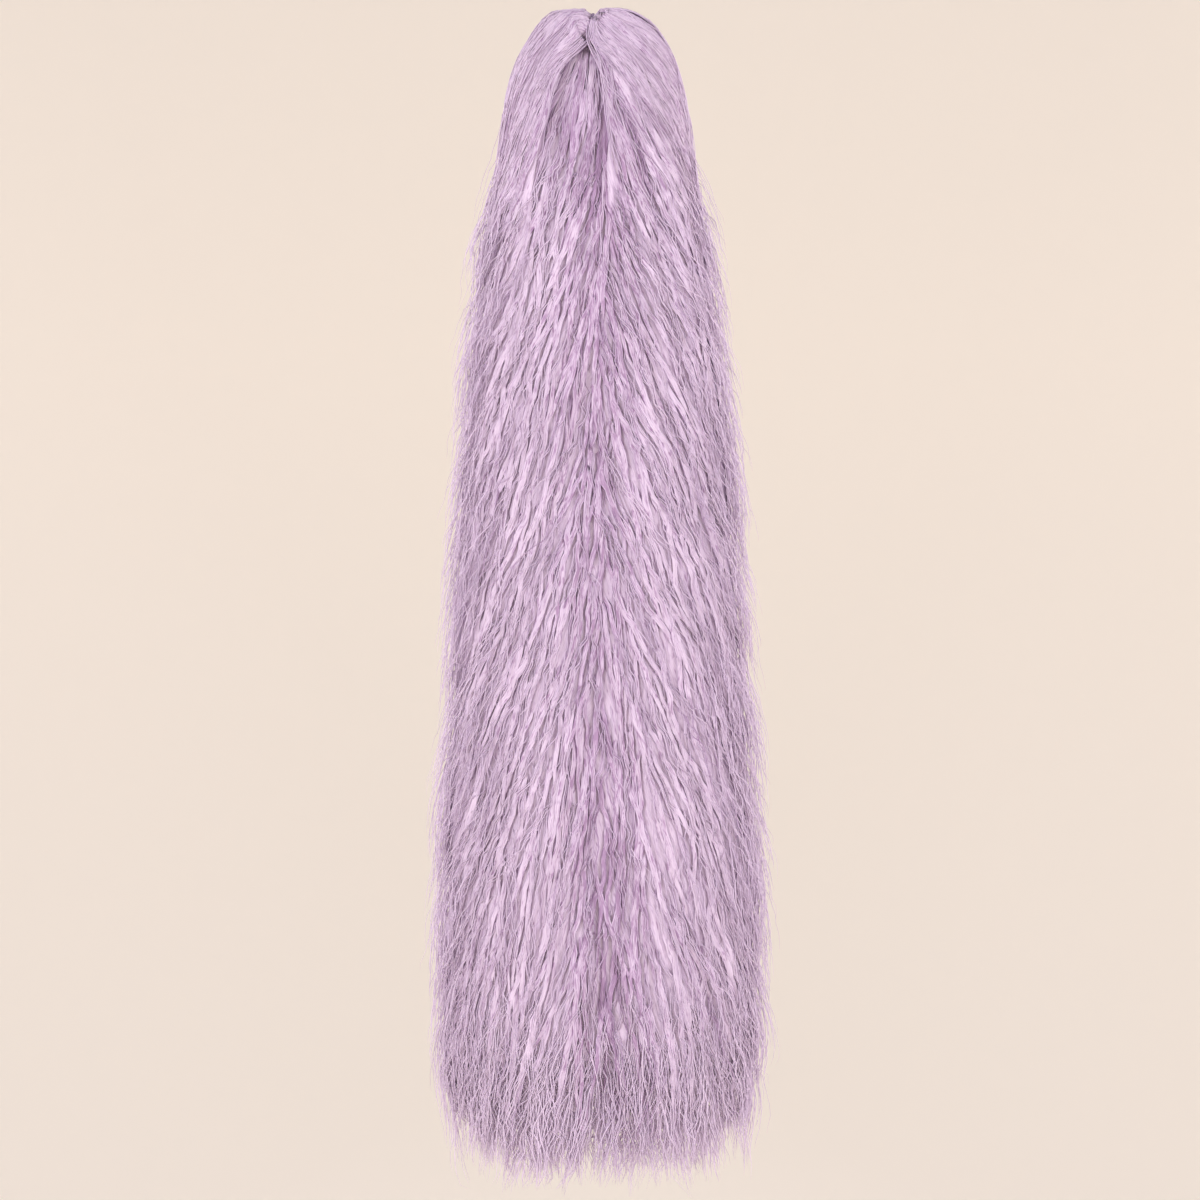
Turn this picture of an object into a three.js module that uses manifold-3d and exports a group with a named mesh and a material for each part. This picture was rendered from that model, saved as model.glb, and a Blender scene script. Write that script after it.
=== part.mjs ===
// Jumbo braiding hair: a long hank of crimped synthetic fibre, tied round its middle.
// It hangs from the tie, so both halves of the hank arch out of it, turn down and fall
// side by side. A third, straighter fall comes out from under the two arches and shows
// between them at the front and the back.
//
// Millimetres, +Z up, the front faces -Y. The origin is the top of the tie, where the
// hair is held. Each fall is a backing with a row of pointed locks fused to it.
import * as THREE from "three";
import { mergeVertices } from "three/addons/utils/BufferGeometryUtils.js";
import Module from "manifold-3d";

const wasm = await Module();
wasm.setup();

// Driving sizes
const hairLength = 610; // from the crown of the arches to the longest tips
const bodyWidth = 172; // across the two falls, at their widest
const bodyDepth = 66; // front to back, at the thickest
const crownRise = { left: 1.6, right: 2.6 }; // each arch's crown above the tie
const crownDip = 6; // each arch's front and back edges, below its crown
const lockThickness = 14; // a lock, at its thickest
const lockWidth = 19; // a lock, where the body is widest
const tieDiameter = 18; // outside of the tie
const tieCordDiameter = 2.2; // the elastic that the tie is made of
const clearance = 0.3; // between neighbouring pieces

// Finishes
const fibreColour = 0xcdb2cb;
const tieColour = 0x4a3450;

// The form of the whole head of hair, from the arches' crowns to the tips. Drop is a
// share of the hair's length below the right crown, left and right are shares of half
// the body's width, and depth is a share of half its depth.
const formRows = [
  { drop: 0.0, left: 0.15, right: 0.16, depth: 0.28 },
  { drop: 0.003, left: 0.23, right: 0.25, depth: 0.32 },
  { drop: 0.01, left: 0.3, right: 0.33, depth: 0.37 },
  { drop: 0.027, left: 0.39, right: 0.43, depth: 0.48 },
  { drop: 0.044, left: 0.455, right: 0.49, depth: 0.57 },
  { drop: 0.078, left: 0.53, right: 0.56, depth: 0.65 },
  { drop: 0.121, left: 0.58, right: 0.62, depth: 0.71 },
  { drop: 0.163, left: 0.65, right: 0.675, depth: 0.76 },
  { drop: 0.25, left: 0.74, right: 0.76, depth: 0.84 },
  { drop: 0.42, left: 0.84, right: 0.875, depth: 0.92 },
  { drop: 0.59, left: 0.905, right: 0.97, depth: 0.97 },
  { drop: 0.76, left: 0.96, right: 1.04, depth: 1.0 },
  { drop: 0.89, left: 0.95, right: 1.01, depth: 0.97 },
  { drop: 0.94, left: 0.87, right: 0.95, depth: 0.92 },
  { drop: 1.0, left: 0.68, right: 0.77, depth: 0.76 },
];

// Where the middle fall parts from the two side falls. Drop is a share of the length
// that is left below the tie. Left and right are shares of half the body's width, either
// side of the middle. Recess is how far the middle fall lies behind the arches, as a
// share of half the body's depth.
const partingRows = [
  { drop: 0.0, left: 0.0, right: 0.0, recess: 0.21 },
  { drop: 0.012, left: 0.19, right: 0.035, recess: 0.21 },
  { drop: 0.032, left: 0.27, right: 0.06, recess: 0.21 },
  { drop: 0.054, left: 0.32, right: 0.075, recess: 0.2 },
  { drop: 0.09, left: 0.36, right: 0.08, recess: 0.17 },
  { drop: 0.17, left: 0.39, right: 0.08, recess: 0.1 },
  { drop: 0.4, left: 0.41, right: 0.09, recess: 0.0 },
  { drop: 1.1, left: 0.44, right: 0.12, recess: 0.0 },
];

// The locks of a side fall. Leaves and tip are shares of the way from the crown to the
// longest tips, and swell is the share of its length over which a lock comes out of the
// backing. Above and below are where it lies when it leaves and at its tip, from 0 at
// the parting to 1 at the side.
const sideLockRows = [
  { leaves: 0.0, swell: 0.04, tip: 0.955, above: 1.0, below: 1.0 },
  { leaves: 0.0, swell: 0.04, tip: 0.975, above: 0.79, below: 0.82 },
  { leaves: 0.0, swell: 0.04, tip: 0.96, above: 0.58, below: 0.65 },
  { leaves: 0.0, swell: 0.04, tip: 0.985, above: 0.37, below: 0.49 },
  { leaves: 0.0, swell: 0.04, tip: 0.965, above: 0.15, below: 0.34 },
  { leaves: 0.13, swell: 0.3, tip: 0.99, above: 0.02, below: 0.19 },
  { leaves: 0.4, swell: 0.4, tip: 0.995, above: 0.0, below: 0.05 },
];

// The locks of the middle fall, with the same columns. Here 0 is at the left parting and
// 1 at the right one.
const middleLockRows = [
  { leaves: 0.0, swell: 0.04, tip: 0.985, above: 0.15, below: 0.16 },
  { leaves: 0.0, swell: 0.04, tip: 0.975, above: 0.5, below: 0.5 },
  { leaves: 0.0, swell: 0.04, tip: 1.0, above: 0.85, below: 0.84 },
];

// The stations of a lock, as shares of its length: close together over the arch and
// where it draws to its tip.
const lockStations = [0, 0.02, 0.035, 0.055, 0.085, 0.13, 0.2, 0.32, 0.46, 0.6, 0.74, 0.85, 0.93, 1];

// Shares of a lock's size
const neckShare = 0.35; // inside the tie, against its full size
const startShare = 0.36; // where it leaves the backing
const tipShare = 0.12; // at its tip
const backingSink = 0.45; // how far the backing lies in the locks

// Shares of the way from the crown to the longest tips
const neckWay = 0.02; // from the tie to the crown, ahead of the form
const crownBlend = 0.02; // where the lower crown has met the other's height
const dipWay = 0.12; // where the arches' front and back edges stop dipping
const fullWay = 0.16; // where the locks have their full thickness
const backingEnd = 0.945; // where the backing stops
const tipTaper = 0.1; // a lock's last stretch, as a share of its own length

// Fineness of the facets
const lockSides = 8;
const backingStations = 15;
const backingSides = 12;
const stationSpread = 2; // how much closer the backing's stations lie near the tie
const cordSides = 8;
const surfaceStep = 0.004; // for slopes of the form, in turn and way
const courseStep = 0.015; // for the direction a lock runs in

const quarterTurn = Math.PI / 2;
const neckRadius = tieDiameter / 2 - tieCordDiameter - clearance; // the fibre inside the tie
const tieUnderside = -tieDiameter - clearance;
const lengthBelowTie = hairLength - crownRise.right + tieUnderside;

const smooth = THREE.MathUtils.smoothstep;
const lerp = THREE.MathUtils.lerp;

// The form's half width, half depth and height on one side, as one curve from the crown
// to the tips.
function formCurve(side) {
  const points = formRows.map((row) => {
    const crown = lerp(crownRise[side], crownRise.right, smooth(row.drop, 0, crownBlend));
    return new THREE.Vector3(
      (row[side] * bodyWidth) / 2,
      (row.depth * bodyDepth) / 2,
      crown - row.drop * hairLength,
    );
  });
  return new THREE.CatmullRomCurve3(points, false, "centripetal");
}

const forms = { left: formCurve("left"), right: formCurve("right") };

// A point of the form: turn is 0 at the front, 1 at the side and 2 at the back. Way is
// the share of the way from the crown to the tips, and below 0 it leads back to the
// neck of fibre inside the tie.
function formPoint(side, turn, way, recess = 0) {
  const size = forms[side].getPointAt(THREE.MathUtils.clamp(way, 0, 1));
  const [sine, cosine] = [Math.sin(turn * quarterTurn), Math.cos(turn * quarterTurn)];
  const outwards = side === "left" ? -1 : 1;
  const dip = crownDip * (1 - Math.abs(sine)) * (1 - smooth(way, 0, dipWay));
  const point = new THREE.Vector3(
    outwards * size.x * sine,
    -(size.y - recess) * cosine,
    size.z - dip,
  );
  const neck = new THREE.Vector3(0, -neckRadius * cosine, neckRadius * sine - tieDiameter / 2);
  return point.lerp(neck, THREE.MathUtils.clamp(-way / neckWay, 0, 1));
}

// The form's outward normal, from two short steps over its surface.
function formNormal(side, turn, way) {
  const step = surfaceStep;
  const round = formPoint(side, turn + step, way).sub(formPoint(side, turn - step, way));
  const down = formPoint(side, turn, way + step).sub(formPoint(side, turn, way - step));
  const normal = round.cross(down).normalize();
  return side === "left" ? normal : normal.negate();
}

// The parting at a height: its distance left and right of the middle and its recess.
function partingAt(height) {
  const drop = (tieUnderside - height) / lengthBelowTie;
  const after = Math.max(1, partingRows.findIndex((row) => row.drop >= drop));
  const [a, b] = [partingRows[after - 1], partingRows[after]];
  const share = Math.max(0, (drop - a.drop) / (b.drop - a.drop));
  return {
    left: (lerp(a.left, b.left, share) * bodyWidth) / 2,
    right: (lerp(a.right, b.right, share) * bodyWidth) / 2,
    recess: (lerp(a.recess, b.recess, share) * bodyDepth) / 2,
  };
}

// The form's size and the parting at one share of the way.
function crossingAt(side, way) {
  const size = forms[side].getPointAt(THREE.MathUtils.clamp(way, 0, 1));
  return { size, parting: partingAt(size.z) };
}

// The turn of a place on a side fall: 0 at the parting, 1 at the side.
function turnBeside(side, way, place) {
  const { size, parting } = crossingAt(side, way);
  return lerp(Math.asin(parting[side] / size.x) / quarterTurn, 1, place);
}

// The turn of a place on the middle fall: 0 at the left parting, 1 at the right one.
function turnBetween(way, place) {
  const { size, parting } = crossingAt("right", way);
  return Math.asin(lerp(-parting.left, parting.right, place) / size.x) / quarterTurn;
}

// A lock's thickness before it draws to its tip: thin in the tie and full below the arch.
function thicknessAt(way) {
  return lockThickness * lerp(neckShare, 1, smooth(way, -neckWay, fullWay));
}

// A closed geometry through rings of points, each ring a closed outline.
function loftGeometry(rings) {
  const sides = rings[0].length;
  const centre = (ring) =>
    ring.reduce((sum, p) => sum.add(p), new THREE.Vector3()).divideScalar(ring.length);
  const points = [...rings.flat(), centre(rings[0]), centre(rings.at(-1))];
  const first = rings.length * sides;
  const last = first - sides;
  const faces = [];
  for (let i = 0; i < sides; i++) {
    const next = (i + 1) % sides;
    for (let s = 0; s + 1 < rings.length; s++) {
      const [a, b] = [s * sides + i, s * sides + next];
      faces.push(a, b, b + sides, a, b + sides, a + sides);
    }
    faces.push(first, next, i, first + 1, last + i, last + next);
  }
  const geometry = new THREE.BufferGeometry().setFromPoints(points);
  geometry.setIndex(faces);
  return geometry;
}

// A closed geometry as a solid, with its faces turned outwards.
function solidOf(geometry) {
  const bare = geometry.clone();
  bare.deleteAttribute("normal");
  bare.deleteAttribute("uv");
  const merged = mergeVertices(bare, 1e-4);
  const triVerts = new Uint32Array(merged.index.array);
  const make = () =>
    new wasm.Manifold(
      new wasm.Mesh({
        numProp: 3,
        vertProperties: merged.attributes.position.array,
        triVerts,
      }),
    );
  const made = make();
  if (made.volume() > 0) return made;
  for (let i = 0; i < triVerts.length; i += 3) {
    [triVerts[i + 1], triVerts[i + 2]] = [triVerts[i + 2], triVerts[i + 1]];
  }
  return make();
}

// One lock: a flat tapered strip that lies in the form's surface and ends in a point. A
// lock that leaves below the crown starts sunk in the backing, so that it swells out of it.
function lockSolid(side, row, turnOf, widthShare, recessAt) {
  const turnAt = (way) => {
    return turnOf(way, lerp(row.above, row.below, smooth(way, row.leaves, row.tip)));
  };
  const rings = lockStations.map((share) => {
    const way = lerp(row.leaves, row.tip, share);
    const swell = lerp(startShare, 1, smooth(share, 0, row.swell));
    const taper = swell * lerp(1, tipShare, smooth(share, 1 - tipTaper, 1));
    const girth = forms[side].getPointAt(way).x / (bodyWidth / 2);
    const thickness = taper * thicknessAt(way);
    const width = taper * lockWidth * widthShare(way) * lerp(neckShare, 1, girth);
    const sink = row.leaves > 0 ? (1 - swell) * backingSink * thicknessAt(way) : 0;
    const normal = formNormal(side, turnAt(way), way);
    const pointAt = (w) => formPoint(side, turnAt(w), w, recessAt(w));
    const course = pointAt(way + courseStep).sub(pointAt(way - courseStep));
    const across = new THREE.Vector3().crossVectors(normal, course).normalize();
    const middle = pointAt(way).addScaledVector(normal, -sink - thickness / 2);
    return Array.from({ length: lockSides }, (_, i) => {
      const angle = (i / lockSides) * 2 * Math.PI;
      return middle
        .clone()
        .addScaledVector(across, (width / 2) * Math.cos(angle))
        .addScaledVector(normal, (thickness / 2) * Math.sin(angle));
    });
  });
  return solidOf(loftGeometry(rings));
}

// The shares at which a backing has its stations, close together near the tie.
function backingShares() {
  const steps = backingStations - 1;
  return Array.from({ length: backingStations }, (_, s) => (s / steps) ** stationSpread);
}

// The backing of a side fall: a D-shaped bar inside the form, flat towards the middle.
function sideBacking(side) {
  const rings = backingShares().map((share) => {
    const way = lerp(-neckWay, backingEnd, share);
    return Array.from({ length: backingSides + 1 }, (_, i) => {
      const turn = (2 * i) / backingSides;
      const sink = formNormal(side, turn, way).multiplyScalar(-backingSink * thicknessAt(way));
      return formPoint(side, turn, way).add(sink);
    });
  });
  return solidOf(loftGeometry(rings));
}

// The backing of the middle fall: a bar with bulging faces between the partings, from
// the underside of the tie down.
function middleBacking() {
  const rings = backingShares().map((share) => {
    const { size, parting } = crossingAt("right", lerp(0, backingEnd, share));
    const depth = size.y - parting.recess - backingSink * thicknessAt(share);
    const halfWidth = (parting.left + parting.right) / 2 + clearance;
    const middle = (parting.right - parting.left) / 2;
    return Array.from({ length: 2 * backingSides }, (_, i) => {
      const angle = (i / backingSides) * Math.PI;
      const bulge = Math.sign(Math.sin(angle)) * Math.sqrt(Math.abs(Math.sin(angle)));
      return new THREE.Vector3(middle + halfWidth * Math.cos(angle), depth * bulge, size.z);
    });
  });
  return solidOf(loftGeometry(rings));
}

// All the space between two edges, each given as a distance at a height, from the top
// down past the tips. It reaches past the hair at the front and the back.
function spaceBetween(leftEdge, rightEdge, top) {
  const rowHeights = partingRows.map((row) => tieUnderside - row.drop * lengthBelowTie);
  const heights = [top, ...rowHeights.filter((height) => height < top)];
  const rings = heights.map((height) => {
    const [left, right] = [leftEdge(height), rightEdge(height)];
    return [
      new THREE.Vector3(left, -bodyDepth, height),
      new THREE.Vector3(right, -bodyDepth, height),
      new THREE.Vector3(right, bodyDepth, height),
      new THREE.Vector3(left, bodyDepth, height),
    ];
  });
  return solidOf(loftGeometry(rings));
}

// The neck of a side fall: the fibre inside the tie, reaching into the arch.
function neckSolid(side) {
  const reach = tieDiameter / 2;
  const geometry = new THREE.CylinderGeometry(neckRadius, neckRadius, reach, 2 * backingSides);
  geometry.rotateZ(quarterTurn);
  geometry.translate(side === "left" ? -reach / 2 : reach / 2, 0, -tieDiameter / 2);
  return solidOf(geometry);
}

// The groove that the tie lies in, square in section.
function tieGroove() {
  const outer = tieDiameter / 2 + clearance;
  const half = tieCordDiameter / 2 + clearance;
  const outline = [
    new THREE.Vector2(neckRadius, -half),
    new THREE.Vector2(outer, -half),
    new THREE.Vector2(outer, half),
    new THREE.Vector2(neckRadius, half),
    new THREE.Vector2(neckRadius, -half),
  ];
  const geometry = new THREE.LatheGeometry(outline, 2 * backingSides);
  geometry.rotateZ(quarterTurn);
  geometry.translate(0, 0, -tieDiameter / 2);
  return solidOf(geometry);
}

// The tie: a ring of elastic cord round the neck of the hank.
function tieSolid() {
  const [radius, cord] = [(tieDiameter - tieCordDiameter) / 2, tieCordDiameter / 2];
  const geometry = new THREE.TorusGeometry(radius, cord, cordSides, 2 * backingSides);
  geometry.rotateY(quarterTurn);
  geometry.translate(0, 0, -tieDiameter / 2);
  return solidOf(geometry);
}

function unionOf(solids) {
  return solids.reduce((joined, solid) => joined.add(solid));
}

// The same solid with the sealed pockets between its crossing locks filled.
function withoutPockets(solid) {
  return wasm.Manifold.compose(solid.decompose().filter((shell) => shell.volume() > 0));
}

// A side fall: the backing and its locks, front and back, cut back to the parting.
function sideFall(side) {
  const widthShare = (way) => 1 - turnBeside(side, way, 0);
  const flush = () => 0;
  const locks = sideLockRows.flatMap((row) => {
    const front = (way, place) => turnBeside(side, way, place);
    const back = (way, place) => 2 - turnBeside(side, way, place);
    const faces = row.below < 1 ? [front, back] : [front];
    return faces.map((turnOf) => lockSolid(side, row, turnOf, widthShare, flush));
  });
  const gap = clearance / 2;
  const far = bodyWidth;
  const beyond =
    side === "left"
      ? spaceBetween((height) => -partingAt(height).left - gap, () => far, far)
      : spaceBetween(() => -far, (height) => partingAt(height).right + gap, far);
  const fall = unionOf([sideBacking(side), neckSolid(side), ...locks]);
  return withoutPockets(fall.subtract(beyond).subtract(tieGroove()));
}

// The middle fall: it starts under the tie and fills what the side falls leave.
function middleFall() {
  const widthShare = () => 1;
  const recessAt = (way) => crossingAt("right", way).parting.recess;
  const locks = middleLockRows.flatMap((row) => {
    const front = (way, place) => turnBetween(way, place);
    const back = (way, place) => 2 - turnBetween(way, place);
    return [front, back].map((turnOf) => lockSolid("right", row, turnOf, widthShare, recessAt));
  });
  const gap = clearance / 2;
  const space = spaceBetween(
    (height) => -partingAt(height).left + gap,
    (height) => partingAt(height).right - gap,
    tieUnderside - clearance,
  );
  return withoutPockets(unionOf([middleBacking(), ...locks]).intersect(space));
}

// A solid as a mesh for the scene graph.
function pieceOf(name, solid, material) {
  const mesh = solid.getMesh();
  const geometry = new THREE.BufferGeometry();
  geometry.setAttribute("position", new THREE.BufferAttribute(mesh.vertProperties, 3));
  geometry.setIndex(new THREE.BufferAttribute(mesh.triVerts, 1));
  geometry.computeVertexNormals();
  const piece = new THREE.Mesh(geometry, material);
  piece.name = name;
  return piece;
}

const fibre = new THREE.MeshStandardMaterial({ color: fibreColour, roughness: 0.55, metalness: 0 });
const elastic = new THREE.MeshStandardMaterial({ color: tieColour, roughness: 0.7, metalness: 0 });

const braidingHair = new THREE.Group();
braidingHair.add(
  pieceOf("left_fall", sideFall("left"), fibre),
  pieceOf("right_fall", sideFall("right"), fibre),
  pieceOf("middle_fall", middleFall(), fibre),
  pieceOf("hair_tie", tieSolid(), elastic),
);

export default braidingHair;
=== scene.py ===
import math

import bpy
import numpy as np
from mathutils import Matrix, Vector


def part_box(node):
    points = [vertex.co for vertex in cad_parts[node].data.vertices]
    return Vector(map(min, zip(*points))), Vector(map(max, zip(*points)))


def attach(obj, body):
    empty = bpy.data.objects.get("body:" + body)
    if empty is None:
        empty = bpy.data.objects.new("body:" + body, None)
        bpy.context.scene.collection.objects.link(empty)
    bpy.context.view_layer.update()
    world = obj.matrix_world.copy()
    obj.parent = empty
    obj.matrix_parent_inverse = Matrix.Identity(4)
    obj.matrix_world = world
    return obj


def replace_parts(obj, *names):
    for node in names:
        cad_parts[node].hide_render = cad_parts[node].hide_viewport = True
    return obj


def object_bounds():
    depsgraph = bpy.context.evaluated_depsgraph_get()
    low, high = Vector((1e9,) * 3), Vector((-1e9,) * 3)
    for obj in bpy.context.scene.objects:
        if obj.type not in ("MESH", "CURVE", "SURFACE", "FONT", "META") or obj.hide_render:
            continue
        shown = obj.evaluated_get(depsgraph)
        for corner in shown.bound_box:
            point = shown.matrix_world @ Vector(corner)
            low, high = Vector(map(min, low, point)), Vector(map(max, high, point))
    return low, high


# Jumbo braiding hair, hung by the tie round its middle: two falls that arch out of the
# tie, a straighter fall between them, and the loose fibre at their edges and tips.

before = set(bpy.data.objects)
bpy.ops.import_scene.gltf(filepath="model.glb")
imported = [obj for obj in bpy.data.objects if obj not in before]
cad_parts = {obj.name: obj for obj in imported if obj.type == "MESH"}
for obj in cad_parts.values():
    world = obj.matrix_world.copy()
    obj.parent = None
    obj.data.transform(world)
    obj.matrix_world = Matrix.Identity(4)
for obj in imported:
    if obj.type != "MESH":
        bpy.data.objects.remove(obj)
cadLow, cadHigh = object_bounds()
tieLow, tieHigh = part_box("hair_tie")
mm = 0.001
quarter = math.pi / 2
rng = np.random.default_rng(7)  # seeded, so that every run gives the same hair


def smooth(x, low, high):
    # 0 below low, 1 above high, 3t^2 - 2t^3 between them
    t = np.clip((x - low) / (high - low), 0, 1)
    return t * t * (3 - 2 * t)


def mix(a, b, t):
    return a + (b - a) * t


def unit(v):
    return v / np.maximum(np.linalg.norm(v, axis=-1, keepdims=True), 1e-12)


def curveThrough(knots, values, at):
    # cubic through the values, with each knot's slope taken from its two neighbours
    knots, values = np.asarray(knots), np.asarray(values)
    slopes = np.gradient(values, knots, axis=0)
    i = np.clip(np.searchsorted(knots, at) - 1, 0, len(knots) - 2)
    span = knots[i + 1] - knots[i]
    t = (at - knots[i]) / span
    start, end = (1 + 2 * t) * (1 - t) ** 2, t * t * (3 - 2 * t)
    leave, arrive = t * (1 - t) ** 2 * span, t * t * (t - 1) * span
    if values.ndim > 1:
        start, end, leave, arrive = [a[:, None] for a in (start, end, leave, arrive)]
    return start * values[i] + end * values[i + 1] + leave * slopes[i] + arrive * slopes[i + 1]


# The form of the whole head of hair, in the same shares as the solids have. Drop is a
# share of the length, left and right of half the width, depth of half the depth. The last
# two rows are wider than the solids': fibre hangs straight there, and its tips round it off.
form = {
    "drop": [0.0, 0.003, 0.01, 0.027, 0.044, 0.078, 0.121, 0.163, 0.25, 0.42, 0.59, 0.76, 0.89, 0.94, 1.0],
    "left": [0.15, 0.23, 0.3, 0.39, 0.455, 0.53, 0.58, 0.645, 0.7, 0.805, 0.855, 0.91, 0.9, 0.84, 0.76],
    "right": [0.16, 0.25, 0.33, 0.43, 0.49, 0.56, 0.62, 0.675, 0.75, 0.855, 0.935, 0.995, 0.98, 0.93, 0.87],
    "depth": [0.28, 0.32, 0.37, 0.48, 0.57, 0.65, 0.71, 0.76, 0.84, 0.92, 0.97, 1.0, 0.97, 0.92, 0.84],
    "width": 172 * mm,
    "thick": 66 * mm,
    "leftLower": 1 * mm,  # the left crown, below the right one, and where that dies out
    "leftLowerEnds": 12 * mm,
    "dip": 6 * mm,  # the arches' front and back edges, below their crowns
    "dipEnds": 75 * mm,
    "valley": 8.5 * mm,  # the hollow along the line that the fibre parts from
    "valleyReach": 17 * mm,
    "valleyStarts": 90 * mm,
    "valleyFull": 260 * mm,
    "ripple": 1.1 * mm,  # broad locks that run with the fibre
    "rippleSpacing": 19 * mm,
    "rippleStarts": 40 * mm,
    "rippleFull": 120 * mm,
}
fibreSlope = 0.27  # how far a fibre moves outwards for each metre along the form
hairLength = cadHigh.z - cadLow.z
rows = np.array([form["left"], form["right"], form["depth"], form["drop"]]).T
rows *= [form["width"] / 2, form["width"] / 2, form["thick"] / 2, -hairLength]
rows[:, 3] += cadHigh.z
steps = np.linalg.norm(np.diff(rows[:, 1:], axis=0), axis=1)
knots = np.concatenate([[0], np.cumsum(steps)])
ways = np.linspace(0, knots[-1], 1500)  # metres along the form from its crown
sizes = curveThrough(knots, rows, ways)

# Where the middle fall parts from the arches: drop is a share of the length below the tie,
# left and right are shares of half the width, recess is a share of half the depth.
parting = {
    "drop": [-0.03, -0.012, 0.0, 0.012, 0.032, 0.054, 0.09, 0.17, 0.4, 1.1],
    "left": [0.03, 0.065, 0.125, 0.19, 0.25, 0.285, 0.33, 0.375, 0.4, 0.44],
    "right": [0.01, 0.02, 0.045, 0.07, 0.088, 0.094, 0.094, 0.085, 0.09, 0.12],
    "recess": [0.24, 0.24, 0.25, 0.26, 0.26, 0.25, 0.2, 0.11, 0.0, 0.0],
    "edge": (1 * mm, 10 * mm),  # outside the parting, over which the recess dies out
}
belowTie = hairLength - (cadHigh.z - tieLow.z)
partHeights = tieLow.z - np.array(parting["drop"]) * belowTie
partWays = np.interp(-partHeights, -sizes[:, 3], ways)
partTable = np.array([parting["left"], parting["right"], parting["recess"]]).T
partTable *= [form["width"] / 2, form["width"] / 2, form["thick"] / 2]
partSizes = curveThrough(partWays, partTable, np.clip(ways, partWays[0], partWays[-1]))

# The line that the fibre flows away from, at the front and the back: its distance right of
# the middle as a share of half the width, by drop.
divide = {
    "drop": [0.0, 0.036, 0.09, 0.12, 0.2, 0.25, 0.42, 0.55, 0.75, 1.0],
    "right": [0.0, 0.0, 0.07, 0.08, 0.07, 0.03, 0.0, 0.03, 0.09, 0.1],
}
divideWays = np.interp(np.array(divide["drop"]) * hairLength, cadHigh.z - sizes[:, 3], ways)
divideLine = curveThrough(divideWays, np.array(divide["right"]) * form["width"] / 2, ways)


def along(table, way):
    return np.interp(way, ways, table)


def bodyPoint(turn, way):
    # x = half width * sin(turn), y = -half depth * cos(turn): turn is in quarters, 0 in front,
    # 1 and -1 at the right and left sides, 2 and -2 at the back; then the hollow, the recess
    # and the locks are added to it
    way = np.maximum(way, 0)
    sine, cosine = np.sin(turn * quarter), np.cos(turn * quarter)
    half = np.where(sine < 0, along(sizes[:, 0], way), along(sizes[:, 1], way))
    depth, height = along(sizes[:, 2], way), along(sizes[:, 3], way)
    dip = form["dip"] * (1 - np.abs(sine)) * (1 - smooth(way, 0, form["dipEnds"]))
    lower = form["leftLower"] * smooth(-sine, 0, 0.5) * (1 - smooth(way, 0, form["leftLowerEnds"]))
    x = half * sine
    outside = np.maximum(x - along(partSizes[:, 1], way), -along(partSizes[:, 0], way) - x)
    inward = along(partSizes[:, 2], way) * (1 - smooth(outside, *parting["edge"]))
    hollow = form["valley"] * smooth(way, form["valleyStarts"], form["valleyFull"])
    inward += hollow * np.exp(-(((x - along(divideLine, way)) / form["valleyReach"]) ** 2))
    flow = np.abs(x - along(divideLine, way)) - fibreSlope * way  # the same all along a fibre
    wave = 2 * math.pi * flow / form["rippleSpacing"]
    lock = np.sin(wave + 1.3 * np.sin(0.31 * wave + 2 * np.sign(x))) + 0.5 * np.sin(0.43 * wave + 1)
    lock *= form["ripple"] * smooth(way, form["rippleStarts"], form["rippleFull"])
    y = -(depth - inward) * cosine
    normal = unit(np.stack([sine * depth, -cosine * half, 0 * x], -1))
    return np.stack([x, y, height - dip - lower], -1) + normal * lock[..., None]


# How each arch comes out of the tie: place is 0 at its front parting, 1 at its side and 2 at
# its back parting. Neck angles are in quarter turns up from the front of the tie.
arch = {
    "neckRadius": 7.6 * mm,
    "flare": {-1: 3.0 * mm, 1: 4.0 * mm},  # how far it swells once it is clear of the tie
    "flareEnds": 4.2 * mm,
    "edgeAngle": {-1: -0.85, 1: 0.35},  # the neck angle at the front and back edges,
    "edgeReach": {-1: 0.2, 1: 0.3},  # and how fast it turns up from there
    "edgeStart": {-1: 25 * mm, 1: 2 * mm},  # how much later the edges start
    "seam": {-1: 0.0, 1: 0.9 * mm},  # how far right of the middle the two arches meet
    "neckLength": 13 * mm,
    "joins": 17 * mm,  # from the tie to where a fibre lies on the form
    "edgeDrop": 2.6 * mm,  # how far the arch's edge rounds inwards
    "edgeRound": 0.16,  # over what share of the place
    "lowerNeck": 0.8,  # share of the swell under the tie's middle
}
tieMiddle = (tieLow.z + tieHigh.z) / 2


def partingTurn(side, way):
    # arcsin(parting / half width), in quarter turns
    way = np.maximum(way, 0)
    column = 0 if side < 0 else 1
    share = along(partSizes[:, column], way) / along(sizes[:, column], way)
    return np.arcsin(np.clip(share, -0.9, 0.9)) / quarter


def archStart(side, place):
    # where a fibre leaves the tie: latest at the two edges, by the square of how near they are
    fold = np.minimum(place, 2 - place)
    return arch["edgeStart"][side] * (1 - np.clip(fold, 0, 1)) ** 2 - arch["neckLength"]


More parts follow.
